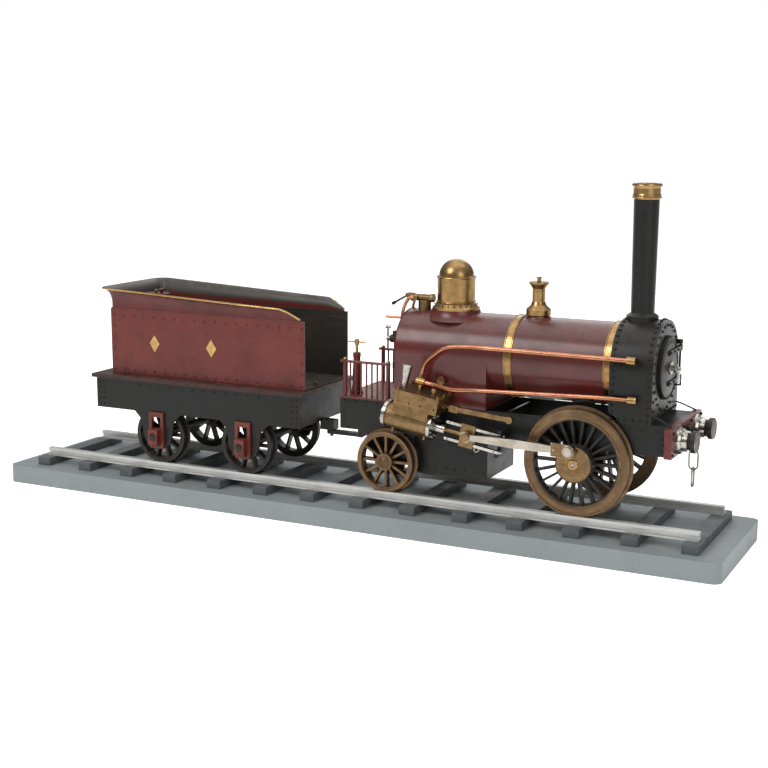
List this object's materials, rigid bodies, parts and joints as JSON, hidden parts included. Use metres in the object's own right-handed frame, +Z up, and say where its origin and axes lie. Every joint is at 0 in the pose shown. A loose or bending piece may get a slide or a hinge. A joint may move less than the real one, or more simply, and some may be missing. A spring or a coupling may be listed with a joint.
{
  "type": "live steam locomotive and tender on display track",
  "caption": "Model steam locomotive with inclined outside cylinders, tall chimney and domed boiler, with a four-wheeled tender, on a railed display plinth",
  "frame": {"origin": "middle of the plinth's underside", "axes": "+X along the track towards the smokebox, +Y to the engine's left, +Z up"},
  "size_m": [1.114, 0.227, 0.481],
  "materials": {
    "plinth_paint": "satin",
    "sleeper_paint": "painted satin",
    "rail_alloy": "satin",
    "maroon": "aged gloss",
    "black_paint": "satin",
    "black_iron": "satin",
    "brass": "aged",
    "bronze": "aged",
    "copper": "satin",
    "steel": "satin"
  },
  "bodies": {
    "track": {"plinth": "plinth_paint", "sleepers": "sleeper_paint", "rails": "rail_alloy"},
    "engine": {"main_frames": "black_paint", "axle_bearings": "bronze", "buffer_beam": "maroon", "buffer_stocks": "steel", "coupling_hook": "steel", "boiler_shell": "maroon", "boiler_bands": "brass", "smokebox": "black_paint", "chimney": "black_paint", "chimney_cap": "brass", "dome_cover": "brass", "safety_valve": "brass", "turret": "brass", "backhead_fittings": "black_paint", "backhead_pipes": "copper", "side_pipes": "copper", "pipe_unions": "brass", "cylinders": "bronze", "cylinder_covers": "steel", "valve_chests": "bronze", "oil_cups": "steel", "slide_bars": "steel", "motion_plates": "black_paint", "footplate": "maroon", "railings": "maroon", "brake_column": "maroon", "ash_pan": "black_paint", "drawbar": "black_iron"},
    "driving_wheelset": {"driving_wheels": "black_iron", "driving_tyres": "bronze", "driving_axle": "steel"},
    "trailing_wheels": {"trailing_wheelset": "bronze"},
    "right_motion": {"right_crosshead": "bronze"},
    "left_motion": {"left_crosshead": "bronze"},
    "right_rod": {"right_connecting_rod": "steel"},
    "left_rod": {"left_connecting_rod": "steel"},
    "right_valve": {"right_valve_rod": "bronze"},
    "left_valve": {"left_valve_rod": "bronze"},
    "right_buffer": {"right_buffer_head": "black_iron"},
    "left_buffer": {"left_buffer_head": "black_iron"},
    "link_upper": {"coupling_link_upper": "steel"},
    "link_middle": {"coupling_link_middle": "steel"},
    "link_lower": {"coupling_link_lower": "steel"},
    "door": {"smokebox_door": "black_paint"},
    "dart": {"door_dart": "steel"},
    "fire_hole_door": {"fire_door": "black_iron"},
    "regulator": {"regulator_lever": "steel"},
    "valve_lever": {"turret_lever": "black_iron"},
    "brake": {"brake_handle": "brass"},
    "tender": {"tender_frames": "black_paint", "tender_deck": "maroon", "tender_tank": "maroon", "tender_coping": "maroon", "tender_axle_guards": "maroon"},
    "tender_front_wheels": {"tender_front_wheelset": "black_iron"},
    "tender_rear_wheels": {"tender_rear_wheelset": "black_iron"},
    "tender_lid": {"filler_lid": "maroon"}
  },
  "joints": [
    {"name": "engine_roll", "type": "slide", "parent": "track", "child": "engine", "axis": [1, 0, 0], "range_m": [0, 0.1362]},
    {"name": "tender_roll", "type": "slide", "parent": "track", "child": "tender", "axis": [1, 0, 0], "range_m": [0, 0.1363]},
    {"name": "driving_spin", "type": "hinge", "parent": "engine", "child": "driving_wheelset", "pos_m": [0.354, 0, 0.1224], "axis": [0, 1, 0], "range_deg": [0, 109.35]},
    {"name": "trailing_spin", "type": "hinge", "parent": "engine", "child": "trailing_wheels", "pos_m": [0.078, 0, 0.0935], "axis": [0, 1, 0], "range_deg": [0, 183.71]},
    {"name": "tender_front_spin", "type": "hinge", "parent": "tender", "child": "tender_front_wheels", "pos_m": [-0.146, 0, 0.0935], "axis": [0, 1, 0], "range_deg": [0, 183.71]},
    {"name": "tender_rear_spin", "type": "hinge", "parent": "tender", "child": "tender_rear_wheels", "pos_m": [-0.297, 0, 0.0935], "axis": [0, 1, 0], "range_deg": [0, 183.71]},
    {"name": "right_crosshead_slide", "type": "slide", "parent": "engine", "child": "right_motion", "axis": [0.9869, 0, -0.1616], "range_m": [0, 0.02537]},
    {"name": "right_rod_swing", "type": "hinge", "parent": "right_motion", "child": "right_rod", "pos_m": [0.20759, -0.0925, 0.14638], "axis": [0, 1, 0], "range_deg": [0, 7.59]},
    {"name": "right_valve_slide", "type": "slide", "parent": "engine", "child": "right_valve", "axis": [0.9869, 0, -0.1616], "range_m": [0, 0.003]},
    {"name": "left_crosshead_slide", "type": "slide", "parent": "engine", "child": "left_motion", "axis": [0.9869, 0, -0.1616], "range_m": [0, 0.02014]},
    {"name": "left_rod_swing", "type": "hinge", "parent": "left_motion", "child": "left_rod", "pos_m": [0.1944, 0.0925, 0.14854], "axis": [0, 1, 0], "range_deg": [-10.7, 0]},
    {"name": "left_valve_slide", "type": "slide", "parent": "engine", "child": "left_valve", "axis": [0.9869, 0, -0.1616], "range_m": [0, 0.003]},
    {"name": "right_buffer_push", "type": "slide", "parent": "engine", "child": "right_buffer", "axis": [1, 0, 0], "range_m": [-0.003, 0], "stiffness_N_per_m": 2000, "springref_m": 0.001},
    {"name": "left_buffer_push", "type": "slide", "parent": "engine", "child": "left_buffer", "axis": [1, 0, 0], "range_m": [-0.003, 0], "stiffness_N_per_m": 2000, "springref_m": 0.001},
    {"name": "upper_link_swing", "type": "hinge", "parent": "engine", "child": "link_upper", "pos_m": [0.49, 0, 0.1621], "axis": [0, 1, 0], "range_deg": [-50, 12]},
    {"name": "middle_link_swing", "type": "hinge", "parent": "link_upper", "child": "link_middle", "pos_m": [0.49, 0, 0.1379], "axis": [0, 1, 0], "range_deg": [-30, 10]},
    {"name": "lower_link_swing", "type": "hinge", "parent": "link_middle", "child": "link_lower", "pos_m": [0.49, 0, 0.1151], "axis": [1, 0, 0], "range_deg": [-25, 25]},
    {"name": "smokebox_door_swing", "type": "hinge", "parent": "engine", "child": "door", "pos_m": [0.4543, 0.048, 0.245], "axis": [0, 0, 1], "range_deg": [0, 105]},
    {"name": "door_dart_turn", "type": "hinge", "parent": "door", "child": "dart", "pos_m": [0.449, 0, 0.245], "axis": [1, 0, 0], "range_deg": [0, 90]},
    {"name": "fire_door_swing", "type": "hinge", "parent": "engine", "child": "fire_hole_door", "pos_m": [0.0802, 0.021, 0.215], "axis": [0, 0, -1], "range_deg": [0, 95]},
    {"name": "regulator_turn", "type": "hinge", "parent": "engine", "child": "regulator", "pos_m": [0.049, 0, 0.255], "axis": [1, 0, 0], "range_deg": [-40, 40]},
    {"name": "turret_lever_swing", "type": "hinge", "parent": "engine", "child": "valve_lever", "pos_m": [0.079, 0, 0.319], "axis": [0, 1, 0], "range_deg": [-12, 14]},
    {"name": "brake_turn", "type": "hinge", "parent": "engine", "child": "brake", "pos_m": [0.016, -0.036, 0.231], "axis": [0, 0, 1], "continuous": true},
    {"name": "filler_lid_swing", "type": "hinge", "parent": "tender", "child": "tender_lid", "pos_m": [-0.373, 0, 0.2933], "axis": [0, -1, 0], "range_deg": [0, 95]}
  ],
  "couplings": [
    {"joint": "tender_roll", "follows": "engine_roll", "ratio": 1},
    {"joint": "driving_spin", "follows": "engine_roll", "rad_per_m": 14.006},
    {"joint": "trailing_spin", "follows": "engine_roll", "rad_per_m": 23.529},
    {"joint": "tender_front_spin", "follows": "engine_roll", "rad_per_m": 23.529},
    {"joint": "tender_rear_spin", "follows": "engine_roll", "rad_per_m": 23.529},
    {"joint": "right_crosshead_slide", "follows": "engine_roll", "ratio": 0.18619},
    {"joint": "right_rod_swing", "follows": "engine_roll", "rad_per_m": 0.972},
    {"joint": "right_valve_slide", "follows": "engine_roll", "ratio": 0.022026},
    {"joint": "left_crosshead_slide", "follows": "engine_roll", "ratio": 0.14779},
    {"joint": "left_rod_swing", "follows": "engine_roll", "rad_per_m": -1.3698},
    {"joint": "left_valve_slide", "follows": "engine_roll", "ratio": 0.022026}
  ]
}
